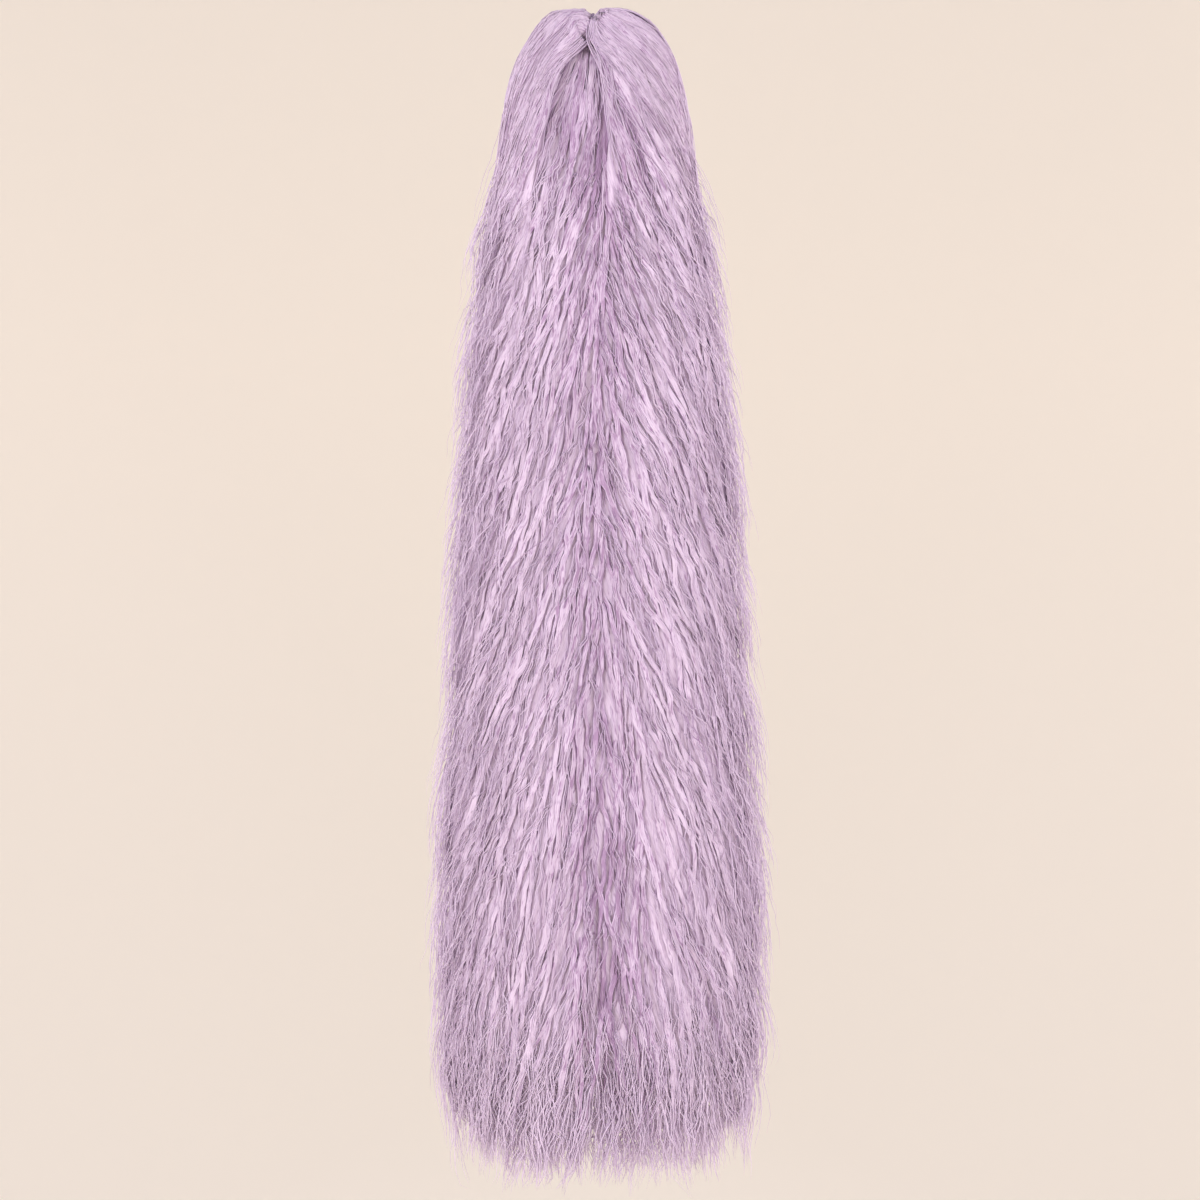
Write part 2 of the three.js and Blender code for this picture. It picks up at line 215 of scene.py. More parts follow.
def archPoint(side, place, way):
    # (side * beyond, radius * cos, radius * sin) straight out of the tie, blended into the
    # form's own surface as beyond grows
    fold = np.minimum(place, 2 - place)
    beyond = way - archStart(side, place)
    turn = mix(partingTurn(side, way), 1, fold)
    onForm = bodyPoint(side * np.where(place > 1, 2 - turn, turn), way)
    way = np.maximum(way, 0)
    edge = side * onForm[..., 0] - along(partSizes[:, 0 if side < 0 else 1], way)
    recess = along(partSizes[:, 2], way)
    front = np.where(place > 1, 1, -1)
    lifted = recess * (1 - smooth(edge, *parting["edge"]))  # undoes the body's own recess
    rounded = np.minimum(arch["edgeDrop"], recess) * (1 - smooth(fold, 0, arch["edgeRound"]))
    onForm[..., 1] += front * (lifted - rounded)
    angle = 1 - (1 - arch["edgeAngle"][side]) * np.exp(-fold / arch["edgeReach"][side])
    clear = smooth(beyond + side * arch["seam"][side], tieHigh.x, arch["flareEnds"])
    swell = arch["flare"][side] * clear
    outwards = arch["neckRadius"] + swell * mix(arch["lowerNeck"], 1, smooth(angle, 0, 0.7))
    neckY = front * outwards * np.cos(angle * quarter)
    neckZ = tieMiddle + outwards * np.sin(angle * quarter)
    straight = np.stack([side * beyond + arch["seam"][side], neckY, neckZ], -1)
    return mix(straight, onForm, smooth(beyond, 0, arch["joins"])[..., None])


middleNeck = {"share": 0.7, "length": 40 * mm}  # of its full width, just under the tie


def middlePoint(turn, way):
    # the body's surface, drawn together where it comes out from under the tie
    point = bodyPoint(turn, way)
    widening = smooth(tieLow.z - point[..., 2], 0, middleNeck["length"])
    point[..., 0] *= mix(middleNeck["share"], 1, widening)
    return point


def normalOf(surface, u, way, hand=1):
    # across two short steps over the surface; hand is -1 where u runs from right to left
    point = surface(u, way)
    around = surface(u + 0.01, way) - point
    down = surface(u, way + 1.5 * mm) - point
    return hand * unit(np.cross(down, around))


def stepOver(surface, u, way, angle, length):
    # one step that leans from the line of constant u by an angle: the two slopes of the
    # surface give how much u and way change for it
    point = surface(u, way)
    around = (surface(u + 0.004, way) - point) / 0.004
    down = (surface(u, way + 1 * mm) - point) / (1 * mm)
    aroundSize = np.maximum(np.linalg.norm(around, axis=-1), 3 * mm)
    downSize = np.maximum(np.linalg.norm(down, axis=-1), 0.15)
    cosine = np.clip(np.sum(around * down, -1) / (aroundSize * downSize), -0.8, 0.8)
    du = np.sin(angle) / (aroundSize * np.sqrt(1 - cosine**2))
    dw = (np.cos(angle) - du * aroundSize * cosine) / downSize
    return du * length, dw * length


def trace(surface, u, way, before, after, rings, upper, lean, start):
    # a path through a middle point: steps upwards, then steps downwards, as whole arrays;
    # where start is given, the steps upwards are stretched to end at the way that it gives
    path = np.zeros((len(u), rings, 2))
    path[:, upper] = np.stack([u, way], -1)
    for ring in range(upper - 1, -1, -1):
        hereU, hereWay = path[:, ring + 1].T
        du, dw = stepOver(surface, hereU, hereWay, lean(hereU, hereWay), -before / upper)
        if start is not None:
            wanted = (start(hereU) - hereWay) / (ring + 1)
            du, dw = du * np.clip(wanted / np.minimum(dw, -0.1 * mm), 0, 3), wanted
        path[:, ring] = path[:, ring + 1] + np.stack([du, dw], -1)
    for ring in range(upper + 1, rings):
        hereU, hereWay = path[:, ring - 1].T
        size = after / (rings - 1 - upper)
        du, dw = stepOver(surface, hereU, hereWay, lean(hereU, hereWay), size)
        path[:, ring] = path[:, ring - 1] + np.stack([du, dw], -1)
    return path


# How far the fibre leans away from the parting line, in degrees, by metres along the form
leans = {
    "way": np.array([0, 30, 60, 90, 130, 250, 400, 540, 640]) * mm,
    "left": [4, 6, 10, 13, 15, 17, 17, 16, 13],
    "right": [20, 24, 24, 22, 20, 18, 17, 16, 13],
    "sideFade": 0.2,  # of a quarter turn, where it dies out towards the sides
    "partingTop": 0.05,  # how softly the two directions meet, at the top
    "partingTips": 0.28,  # and towards the tips
    "partingSoftens": (100 * mm, 560 * mm),
    "stray": 5.0,  # how far broad patches of fibre depart from that
    "strayLength": 105 * mm,
    "strayStarts": 60 * mm,
    "strayFull": 160 * mm,
}


def strayLean(turn, way):
    # two crossed waves over the surface
    wave = 2 * math.pi * way / leans["strayLength"]
    size = np.sin(wave + 4.1 * turn + 1.7 * np.sin(0.37 * wave))
    size = size * np.cos(5.3 * turn - 0.61 * wave + 0.8)
    return np.radians(leans["stray"]) * size * smooth(way, leans["strayStarts"], leans["strayFull"])


def bodyLean(turn, way):
    # the table's angle * tanh(distance from the parting line / softness), fading to the sides
    right = np.interp(way, leans["way"], leans["right"])
    left = np.interp(way, leans["way"], leans["left"])
    onForm = np.maximum(way, 0)
    offset = along(divideLine, onForm) / along(sizes[:, 1], onForm) / quarter
    fold = np.where(np.abs(turn) > 1, 2 - np.abs(turn), np.abs(turn)) * np.sign(turn) - offset
    softness = mix(leans["partingTop"], leans["partingTips"], smooth(way, *leans["partingSoftens"]))
    away = np.tanh(fold / softness)
    fade = smooth(1 - np.abs(fold), 0, leans["sideFade"])
    size = np.radians(np.where(fold < 0, left, right)) * away * fade
    return np.where(np.abs(turn) > 1, -size, size) + strayLean(turn, way)


def archLean(side):
    # the table's angle, which dies out at the arch's side and at its two edges
    table = leans["left"] if side < 0 else leans["right"]

    def lean(place, way):
        fold = np.minimum(place, 2 - place)
        size = np.radians(np.interp(way, leans["way"], table))
        size = size * smooth(1 - fold, 0, leans["sideFade"]) * smooth(fold, -0.02, 0.08)
        return np.where(place > 1, -size, size)

    return lean


def linear(code):
    # the sRGB curve: c / 12.92 below 0.04045, ((c + 0.055) / 1.055)^2.4 above it
    parts = [int(code[i : i + 2], 16) / 255 for i in (1, 3, 5)]
    return [c / 12.92 if c <= 0.04045 else ((c + 0.055) / 1.055) ** 2.4 for c in parts] + [1.0]


def addNode(tree, kind, settings=None, values=None, links=None):
    # settings are the node's own, values its sockets', links come from other nodes' sockets
    node = tree.nodes.new(kind)
    for key, value in (settings or {}).items():
        setattr(node, key, value)
    for key, value in (values or {}).items():
        node.inputs[key].default_value = value
    for key, socket in (links or {}).items():
        tree.links.new(socket, node.inputs[key])
    return node


def newMaterial(name):
    material = bpy.data.materials.new(name)
    material.use_nodes = True
    material.node_tree.nodes.clear()
    return material, material.node_tree


def rampOf(tree, factor, stops):
    ramp = addNode(tree, "ShaderNodeValToRGB", links={"Fac": factor})
    elements = ramp.color_ramp.elements
    while len(elements) < len(stops):
        elements.new(0.5)
    for element, (place, code) in zip(elements, stops):
        element.position = place
        element.color = linear(code)
    return ramp


# A ramp of tones from dark to light: its dark end is mostly painted shade between and under strands, and
# glint is a painted highlight
fibreFinishAndPaintedShade = {
    "slitShade": "#ad8daf",  # painted shade between strands
    "deep": "#c5abc7",
    "shade": "#d5c0d7",
    "middle": "#dfcbe0",
    "light": "#e2cee3",
    "glint": "#e6d3e7",
    "roughness": 0.56,
    "specular": 0.2,
    "strandSpacing": 0.7 * mm,  # real fibre is 0.06 mm thick: these are the groups that show
    "strandRun": 9 * mm,  # how far a strand stays on top
    "slitSpacing": 1.1 * mm,
    "slitRun": 5.0 * mm,
    "slitWidth": (0.33, 0.45),  # the noise below which a slit's painted shade is dark and above which it ends
    "relief": 0.4 * mm,
    "wander": 1.5 * mm,  # how far strands sway inside a lock
    "wanderAcross": 6 * mm,
    "wanderAlong": 12 * mm,
}


def stretched(tree, vector, across, lengthwise, detail, shift=0.0):
    # noise whose grains are so wide across the fibre and so long along it
    mapping = addNode(tree, "ShaderNodeMapping", None,
                      {"Scale": (1 / across, 1 / lengthwise, 1), "Location": (shift, shift, shift)},
                      {"Vector": vector})
    return addNode(tree, "ShaderNodeTexNoise", None,
                   {"Scale": 1.0, "Detail": detail, "Roughness": 0.55},
                   {"Vector": mapping.outputs["Vector"]})


def fibreMaterial(name, contrast, slitShadeDepth):
    # modacrylic, extruded through fine holes and crimped: a soft satin gloss along each
    # strand, lighter and darker strands side by side that sway, and short dark slits of painted
    # shade between strands; the shade is tone + contrast * (strand noise - 1/2) - the slits' painted shade
    finishAndShade = fibreFinishAndPaintedShade
    material, tree = newMaterial(name)
    tone = addNode(tree, "ShaderNodeAttribute", {"attribute_name": "tone"})
    uv = addNode(tree, "ShaderNodeUVMap", {"uv_map": "UVMap"}).outputs["UV"]
    sway = stretched(tree, uv, finishAndShade["wanderAcross"], finishAndShade["wanderAlong"], 1.0)
    swayed = addNode(tree, "ShaderNodeVectorMath", {"operation": "MULTIPLY_ADD"},
                     {1: (2 * finishAndShade["wander"], 0, 0)},
                     {0: sway.outputs["Color"], 2: uv}).outputs["Vector"]
    strand = stretched(tree, swayed, finishAndShade["strandSpacing"], finishAndShade["strandRun"], 2.0)
    slitShade = stretched(tree, swayed, finishAndShade["slitSpacing"], finishAndShade["slitRun"], 1.0, 7.3)
    slitLow, slitHigh = finishAndShade["slitWidth"]
    # painted shade in short slits between strands: where the slit noise is low, the tone drops
    paintedSlitShade = addNode(tree, "ShaderNodeMapRange", None,
                  {"From Min": slitLow, "From Max": slitHigh, "To Min": slitShadeDepth, "To Max": 0.0},
                  {"Value": slitShade.outputs["Fac"]})
    shift = addNode(tree, "ShaderNodeMath", {"operation": "MULTIPLY_ADD"},
                    {1: contrast, 2: -contrast / 2}, {0: strand.outputs["Fac"]})
    toned = addNode(tree, "ShaderNodeMath", {"operation": "ADD"}, None,
                    {0: tone.outputs["Fac"], 1: shift.outputs["Value"]})
    total = addNode(tree, "ShaderNodeMath", {"operation": "SUBTRACT", "use_clamp": True}, None,
                    {0: toned.outputs["Value"], 1: paintedSlitShade.outputs["Result"]})
    stops = [(0.0, finishAndShade["slitShade"]), (0.15, finishAndShade["deep"]), (0.33, finishAndShade["shade"]),
             (0.52, finishAndShade["middle"]), (0.72, finishAndShade["light"]), (1.0, finishAndShade["glint"])]
    colour = rampOf(tree, total.outputs["Value"], stops)
    bump = addNode(tree, "ShaderNodeBump", None, {"Strength": 0.4, "Distance": finishAndShade["relief"]},
                   {"Height": strand.outputs["Fac"]})
    shader = addNode(tree, "ShaderNodeBsdfPrincipled", None,
                     {"Roughness": finishAndShade["roughness"], "IOR": 1.5,
                      "Specular IOR Level": finishAndShade["specular"]},
                     {"Base Color": colour.outputs["Color"], "Normal": bump.outputs["Normal"]})
    addNode(tree, "ShaderNodeOutputMaterial", None, None, {"Surface": shader.outputs["BSDF"]})
    return material


strandFibre = fibreMaterial("modacrylic_fibre_single_strands", 0.6, 0.0)
lockFibre = fibreMaterial("modacrylic_fibre_crimped_locks", 1.5, 0.36)
packedFibre = fibreMaterial("modacrylic_fibre_packed_underneath", 1.4, 0.25)


def newPiece(name, points, faces, uvs, tones, material, counts):
    # counts is the corners of each face: quads first, then the caps
    mesh = bpy.data.meshes.new(name)
    mesh.vertices.add(len(points))
    mesh.vertices.foreach_set("co", np.ascontiguousarray(points, dtype=np.float32).ravel())
    mesh.loops.add(len(faces))
    mesh.polygons.add(len(counts))
    starts = np.concatenate([[0], np.cumsum(counts)[:-1]])
    mesh.polygons.foreach_set("loop_start", starts.astype(np.int32))
    mesh.loops.foreach_set("vertex_index", faces.astype(np.int32))
    mesh.update(calc_edges=True)
    mesh.uv_layers.new(name="UVMap").data.foreach_set("uv", uvs[faces].astype(np.float32).ravel())
    attribute = mesh.attributes.new("tone", "FLOAT", "POINT")
    attribute.data.foreach_set("value", tones.astype(np.float32))
    mesh.polygons.foreach_set("use_smooth", np.ones(len(counts), dtype=bool))
    mesh.validate()
    mesh.materials.append(material)
    piece = bpy.data.objects.new(name, mesh)
    bpy.context.scene.collection.objects.link(piece)
    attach(piece, "root")
    print(name, "triangles", int(np.sum(np.array(counts) - 2)))
    return piece


def closedTube(sections):
    # faces of tubes through rings of points: (tubes, rings, corners, 3), with both ends capped
    tubes, rings, corners = sections.shape[:3]
    index = np.arange(tubes * rings * corners).reshape(tubes, rings, corners)
    following = np.roll(index, -1, axis=2)
    quads = np.stack([index[:, :-1], following[:, :-1], following[:, 1:], index[:, 1:]], -1)
    caps = np.concatenate([index[:, 0, ::-1], index[:, -1]])
    faces = np.concatenate([quads.reshape(-1), caps.reshape(-1)])
    counts = np.concatenate([np.full(quads.size // 4, 4), np.full(2 * tubes, corners)])
    return faces, counts


# Packed fibre underneath: a closed bar for each fall, a little below the surface
under = {
    "sink": 1.8 * mm,
    "sideSink": 4.5 * mm,  # deeper at the sides, where only loose strands make the edge
    "edge": (0.5, 0.95),  # how near a side counts as at it
    "edgeStarts": (40 * mm, 120 * mm),
    "ringStep": 6.0 * mm,
    "closeRings": 24 * mm,  # where the rings are four times as close
    "ends": 0.94,  # share of the form's length
    "endTaper": 38 * mm,
    "tones": (0.45, 0.85),  # below the tufts' tone, painted shade underneath; the second, at the lower end, painted light where thin fibre lets light in
    "paleEnd": 90 * mm,
    "innerSteps": 6,
    "overlap": (0.03, 0.07),  # how far the middle bar goes under the arches, and more at its top
    "placeSteps": 61,
    "middleSteps": 25,
}
roundTurns = np.linspace(-2, 2, 801)
roundArc = np.hypot(np.diff(form["width"] / 2 * np.sin(roundTurns * quarter)),
                    np.diff(form["thick"] / 2 * np.cos(roundTurns * quarter)))
roundArc = np.concatenate([[0], np.cumsum(roundArc)])


def fibreUvs(turn, way):
    # u stays the same along a fibre that leans outwards from the parting line, v runs down it
    fold = np.where(np.abs(turn) > 1, 2 - np.abs(turn), np.abs(turn))
    arc = np.interp(fold, roundTurns, roundArc) - roundArc[-1] / 2
    arc = arc * along(sizes[:, 1], way) / (form["width"] / 2)
    lean = fibreSlope * (1 - smooth(fold, 0.45, 1.0))
    return np.stack([arc - lean * way, way], -1)


def lengthwise(low, step):
    # closer together where the fall comes out of the tie
    high, near = under["ends"] * ways[-1], low + under["closeRings"]
    rest = np.linspace(near, high, int((high - near) / step))
    return np.concatenate([np.arange(low, near, step / 4), rest])


def barMesh(name, outer, turns, down):
    # rings of outer points, closed across the inside, and drawn together at the lower end
    centre = outer.mean(axis=1, keepdims=True)
    ending = smooth(down, down[-1] - under["endTaper"], down[-1])[:, None, None]
    outer = mix(outer, mix(outer, centre, 0.75), ending**2)
    faces, counts = closedTube(outer[None])
    uvs = fibreUvs(turns, np.repeat(down[:, None], outer.shape[1], axis=1)).reshape(-1, 2)
    # painted light: the packed fibre's tone rises towards its lower end
    pale = mix(*under["tones"], smooth(down, down[-1] - under["paleEnd"], down[-1]))
    tones = np.repeat(pale, outer.shape[1])
    return newPiece(name, outer.reshape(-1, 3), faces, uvs, tones, packedFibre, counts)


def sideBar(side, name):
    # the arch's surface less sink * normal, closed by straight lines across its inside
    beyond = lengthwise(0.0, under["ringStep"])
    place = np.linspace(0, 2, under["placeSteps"])[None] * np.ones((len(beyond), 1))
    late = archStart(side, place) * (1 - smooth(beyond, 20 * mm, 120 * mm))[:, None]
    way = beyond[:, None] + late
    surface = lambda p, w: archPoint(side, p, w)
    points = surface(place, way)
    atSide = smooth(1 - np.abs(place - 1), *under["edge"])
    atSide = atSide * smooth(beyond, *under["edgeStarts"])[:, None]
    sink = mix(under["sink"], under["sideSink"], atSide) * smooth(beyond, -5 * mm, 25 * mm)[:, None]
    points = points - normalOf(surface, place, way, side) * sink[..., None]
    inner = np.linspace(0, 1, under["innerSteps"] + 2)[None, 1:-1, None]
    inner = mix(points[:, -1:], points[:, :1], inner)
    outer = np.concatenate([points, inner], axis=1)
    turn = mix(partingTurn(side, way), 1, np.minimum(place, 2 - place))
    turn = np.where(place > 1, 2 - turn, turn)
    turns = np.concatenate([turn, np.zeros((len(beyond), under["innerSteps"]))], axis=1)
    if side < 0:
        outer, turns = outer[:, ::-1], turns[:, ::-1]
    return barMesh(name, outer, turns, beyond)


def middleBar(name):
    # the middle surface less sink * normal, from parting to parting at the front and the back
    start = float(np.interp(-(tieLow.z + 3 * mm), -sizes[:, 3], ways))
    way = lengthwise(start, under["ringStep"])
    wider = under["overlap"][0] + under["overlap"][1] * (1 - smooth(way, 40 * mm, 130 * mm))
    left, right = -partingTurn(-1, way) - wider, partingTurn(1, way) + wider
    shares = np.linspace(0, 1, under["middleSteps"])
    front = mix(left[:, None], right[:, None], shares[None])
    back = 2 - mix(right[:, None], left[:, None], shares[None])
    turns = np.concatenate([front, np.where(back > 2, back - 4, back)], axis=1)
    grid = way[:, None] * np.ones((1, turns.shape[1]))
    points = middlePoint(turns, grid) - normalOf(middlePoint, turns, grid) * under["sink"]
    return barMesh(name, points, turns, way)


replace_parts(sideBar(-1, "left_fall_packed"), "left_fall")
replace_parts(sideBar(1, "right_fall_packed"), "right_fall")
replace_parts(middleBar("middle_fall_packed"), "middle_fall")
print("packed fibre made")


def waver(lengths, rings, low, high):
    # two sines of the distance along, with their own lengths and starts for each path
    s = lengths[:, None] * np.linspace(0, 1, rings)[None]
    first = rng.uniform(low, high, (len(lengths), 1))
    second = rng.uniform(low, high, (len(lengths), 1)) * 0.58
    phase = rng.uniform(0, 2 * math.pi, (3, len(lengths), 1))
    drift = 0.9 * np.sin(2 * math.pi * s / (3.1 * high) + phase[2])
    return (np.sin(2 * math.pi * s / first + phase[0] + drift)
            + 0.5 * np.sin(2 * math.pi * s / second + phase[1])) / 1.2


def hairPaths(surface, u, way, before, after, lean, size, roots, tips, hand=1, start=None):
    # bundles of strands: middle path + across * (sway + crimp + spread) + normal * (lift - dive),
    # stiff at first, narrow and sunk at the root, and spreading or closing towards the tip
    rings, strands, count = size["rings"], size["strands"], len(u)
    path = trace(surface, u, way, before, after, rings, size["upper"], lean, start)
    middle = surface(path[..., 0], path[..., 1])
    normal = normalOf(surface, path[..., 0], path[..., 1], hand)
    across = unit(np.cross(unit(np.gradient(middle, axis=1)), normal))
    share = np.linspace(0, 1, rings)[None]
    lengths = before + after
    each = np.repeat(lengths, strands)
    calm = mix(0.15, 1, smooth(path[..., 1], 15 * mm, 130 * mm))[:, None]
    sway = waver(lengths, rings, *size["waveLength"])[:, None] * size["wave"]
    rise = waver(lengths, rings, *size["waveLength"])[:, None] * size["wave"] * 0.3
    crimp = waver(each, rings, *size["crimpLength"]).reshape(count, strands, rings) * size["crimp"]
    lift = waver(each, rings, *size["crimpLength"]).reshape(count, strands, rings) * size["crimp"] * 0.5
    spread = np.linspace(-1, 1, strands)[None, :, None] if strands > 1 else np.zeros((1, 1, 1))
    if strands > 1:
        wander = waver(each, rings, 40 * mm, 80 * mm).reshape(count, strands, rings)
        spread = spread + rng.uniform(-0.3, 0.3, (count, strands, 1)) + 0.6 * wander
    half = rng.uniform(*size["halfWidth"], (count, 1)) * mix(0.2, 1, smooth(share, 0, 0.35))
    half = (half * mix(1, rng.uniform(0.2, 1.5, (count, 1)), smooth(share, 0.55, 1)))[:, None]
    dive = roots[:, None] * (1 - smooth(share, 0, 0.22)) + tips[:, None] * smooth(share, size["leaves"], 1)
    height = rng.uniform(*size["lift"], (count, 1))[:, None] - dive[:, None] + (rise + lift) * calm
    height = height + rng.uniform(-0.3, 0.3, (count, strands, 1)) * mm * (strands > 1)
    atSide = smooth(1 - np.abs(np.abs(path[..., 0]) - 1), 0.55, 0.93)
    atSide = atSide * smooth(path[..., 1], 60 * mm, 130 * mm)
    height = np.broadcast_to(height - size["sideDrop"] * atSide[:, None], (count, strands, rings))
    sideways = (sway + crimp) * calm + spread * half
    points = middle[:, None] + across[:, None] * sideways[..., None]
    points = points + normal[:, None] * height[..., None]
    normals = np.broadcast_to(normal[:, None], points.shape)
    total = count * strands
    widths = rng.uniform(*size["width"], (total, 1)) * mix(size["root"], 1, smooth(share, 0, 0.15))
    widths = widths * mix(1, size["tip"], smooth(share, size["tipStarts"], 1))
    thicks = size["thick"] * mix(1, 0.4, smooth(share, size["tipStarts"], 1)) * np.ones((total, 1))
    return points.reshape(total, rings, 3), normals.reshape(total, rings, 3), widths, thicks


# Fibre's tone gets painted shade in the hollow along the parting line and painted light at
# the sides, where the surface turns from the lamps, and differs in broad bands that run with it
shading = {
    # painted shade along the parting line's hollow
    "valley": 0.31,
    "valleyWidth": 1.4,  # times the hollow's own reach
    "valleyTop": (35 * mm, 110 * mm),  # where it sets in
    "valleyTips": (380 * mm, 520 * mm),  # where it grows by half again
    # painted light at the sides
    "side": 0.16,
    "sideEdge": (0.7, 0.98),  # shares of half the width
    "sideTop": (60 * mm, 150 * mm),
    "band": 0.07,
    "bandSpacing": 13 * mm,
    "bandLength": 270 * mm,
}


def shadeAt(points):
    # valley * e^-(distance / reach)^2 - side + band * sine
    way = np.interp(-points[..., 2], -sizes[:, 3], ways)
    x = points[..., 0]
    reach = shading["valleyWidth"] * form["valleyReach"]
    near = np.exp(-(((x - along(divideLine, way)) / reach) ** 2))
    deeper = smooth(way, *shading["valleyTop"]) + 0.5 * smooth(way, *shading["valleyTips"])
    half = np.where(x < 0, along(sizes[:, 0], way), along(sizes[:, 1], way))
    side = smooth(np.abs(x) / half, *shading["sideEdge"]) * smooth(way, *shading["sideTop"])
    flow = np.abs(x - along(divideLine, way)) - fibreSlope * way
    wave = 2 * math.pi * flow / shading["bandSpacing"] + np.sign(x)
    band = np.sin(wave + 1.3 * np.sin(0.37 * wave))
    band = band * np.cos(2 * math.pi * way / shading["bandLength"] + 0.43 * wave)
    return shading["valley"] * near * deeper - shading["side"] * side + shading["band"] * band


def sectionOf(lengths, rings, ridges):
    # each corner's offset across and outwards, in shares of width and thickness, and how much
    # lighter it is, as painted highlight on the ridges, each with a random tone of its own, and
    # painted shade in the gaps between them: a triangle for one strand, or a flat tuft with a ridge
    # for each strand, whose ridges wander, rise and fall, with gaps between them that open and close
    if ridges == 1:
        return np.array([-0.5, 0.0, 0.5]), np.array([-0.35, 0.65, -0.35]), np.zeros(3)
    corners = 2 * ridges + 1
    spot, top = np.linspace(-0.5, 0.5, corners), np.arange(corners) % 2
    each = np.repeat(lengths, corners)
    wander, rise, gap = [waver(each, rings, 14 * mm, 30 * mm).reshape(-1, corners, rings).swapaxes(1, 2)
                         for turn in range(3)]
    own = rng.normal(0, 0.035, (len(lengths), 1, corners))
    across = spot + wander * 0.3 / corners
    up = top * (0.7 + 0.25 * rise) - 0.5 + 0.3 * (1 - 4 * spot**2)
    inside = np.arange(corners) % (corners - 1) > 0  # the gaps get painted shade, and the two edges stay lighter than they
    return across, up, top * (0.05 + own) - (1 - top) * inside * (0.08 + 0.18 * np.clip(gap, 0, 1))


def hairMesh(name, size, paths, normals, widths, thicks, tones):
    # the section carried along each path, turned with the surface's normal
    forward = unit(np.gradient(paths, axis=1))
    across = unit(np.cross(forward, normals))
    upward = np.cross(across, forward)
    lengths = np.cumsum(np.linalg.norm(np.diff(paths, axis=1, prepend=paths[:, :1]), axis=2), axis=1)
    aside, up, ridgeLightGapShade = sectionOf(lengths[:, -1], paths.shape[1], size["ridges"])
    pointed = np.where(np.arange(paths.shape[1]) % (paths.shape[1] - 1) == 0, 0.12, 1.0)
    aside, up = aside * (widths * pointed)[..., None], up * (thicks * pointed)[..., None]
    sections = paths[:, :, None] + across[:, :, None] * aside[..., None]
    sections = sections + upward[:, :, None] * up[..., None]
    faces, counts = closedTube(sections)
    number = np.arange(len(paths))[:, None, None]
    uvs = np.stack([aside + 31 * mm * (number % 97),  # so that no two tufts look the same
                    lengths[..., None] + 57 * mm * (number % 13) + 0 * aside], -1)
    # tones get the ridges' painted highlight and the gaps' painted shade, less the painted shade and light
    # of shadeAt
    tones = tones[:, None, None] + ridgeLightGapShade - shadeAt(paths)[..., None] + 0 * aside
    return newPiece(name, sections.reshape(-1, 3), faces, uvs.reshape(-1, 2), tones.reshape(-1),
                    strandFibre if size["ridges"] == 1 else lockFibre, counts)


def tonesFor(count, size):
    # a tone, how much bundles differ and how much the strands of one bundle differ
    tone, apart, within = size["tone"]
    each = tone + rng.normal(0, apart, (count, 1)) + rng.normal(0, within, (count, size["strands"]))
    return each.reshape(-1)


def piecesByFall(stem, size, made):
    # each path goes to the fall that its own middle lies on
    tones = tonesFor(size["count"], size)
    points, normals, widths, thicks = made
    half = points[:, points.shape[1] // 2]
    way = np.interp(-half[:, 2], -sizes[:, 3], ways)
    left, right = half[:, 0] < -along(partSizes[:, 0], way), half[:, 0] > along(partSizes[:, 1], way)
    for fall, chosen in {"left_fall": left, "middle_fall": ~left & ~right, "right_fall": right}.items():
        if chosen.any():
            hairMesh(f"{fall}_{stem}", size, points[chosen], normals[chosen], widths[chosen],
                     thicks[chosen], tones[chosen])


girth = np.cumsum(sizes[:, 0] + sizes[:, 1] + 2 * sizes[:, 2])


def evenPairs(count, shift):
    # two sequences that fill a square evenly: 1/g and 1/g^2 times the index, where g^3 = g + 1
    index = np.arange(count) + 0.5 + shift
    return np.mod(0.5 + 0.7548776662 * index, 1), np.mod(0.5 + 0.5698402910 * index, 1)


def evenPlaces(count, lowWay, highWay, shift):
    # even over the surface: one is read as area down the form, one as the distance round it
    first, second = evenPairs(count, shift)
    low, high = np.interp([lowWay, highWay], ways, girth)
    way = np.interp(mix(low, high, first), girth, ways)
    return np.interp(second * roundArc[-1], roundArc, roundTurns), way


def tilted(lean, degrees, count):
    # every path leans a little more or less than its neighbours
    extra = rng.normal(0, math.radians(degrees), count)
    return lambda u, way: lean(u, way) + extra


def overBody(size):
    # gather below 1 draws the places towards the two sides; tips go under or stand off
    count = size["count"]
    turn, way = evenPlaces(count, size["from"], size["to"] * ways[-1], size["shift"])
    turn = np.sign(turn) * (1 + (np.abs(turn) - 1) * rng.uniform(*size["gather"], count))
    length = rng.uniform(*size["length"], count)
    lean = tilted(bodyLean, size["tilt"], count)
    return hairPaths(bodyPoint, turn, way, length * 0.45, length * 0.55, lean, size,
                     np.full(count, size["dive"]), rng.uniform(*size["tipDive"], count))


# Tufts: a few strands side by side that keep together
tufts = {
    "count": 840,
    "from": 115 * mm,  # the middles of the paths: metres along the form, and a share of it
    "to": 0.895,
    "shift": 0.0,  # where the even places start
    "tone": (0.53, 0.04, 0.0),
    "ridges": 3,
    "strands": 1,
    "rings": 19,
    "upper": 9,  # how many of the rings lie above the path's middle point
    "length": (70 * mm, 105 * mm),
    "width": (2.3 * mm, 3.6 * mm),
    "thick": 0.38 * mm,
    "halfWidth": (0.0, 0.0),
    "wave": 0.5 * mm,
    "waveLength": (18 * mm, 32 * mm),
    "crimp": 0.2 * mm,
    "crimpLength": (12 * mm, 18 * mm),
    "lift": (-0.5 * mm, 0.0),
    "sideDrop": 3.0 * mm,  # deeper at the sides, where loose strands make the edge
    "dive": 2.2 * mm,
    "tipDive": (0.8 * mm, 2.0 * mm),
    "leaves": 0.6,
    "root": 0.45,  # shares of the width at the two ends
    "tip": 0.4,
    "tipStarts": 0.5,
    "tilt": 7,
    "gather": (1.0, 1.0),
}
piecesByFall("tufts", tufts, overBody(tufts))
print("tufts made")

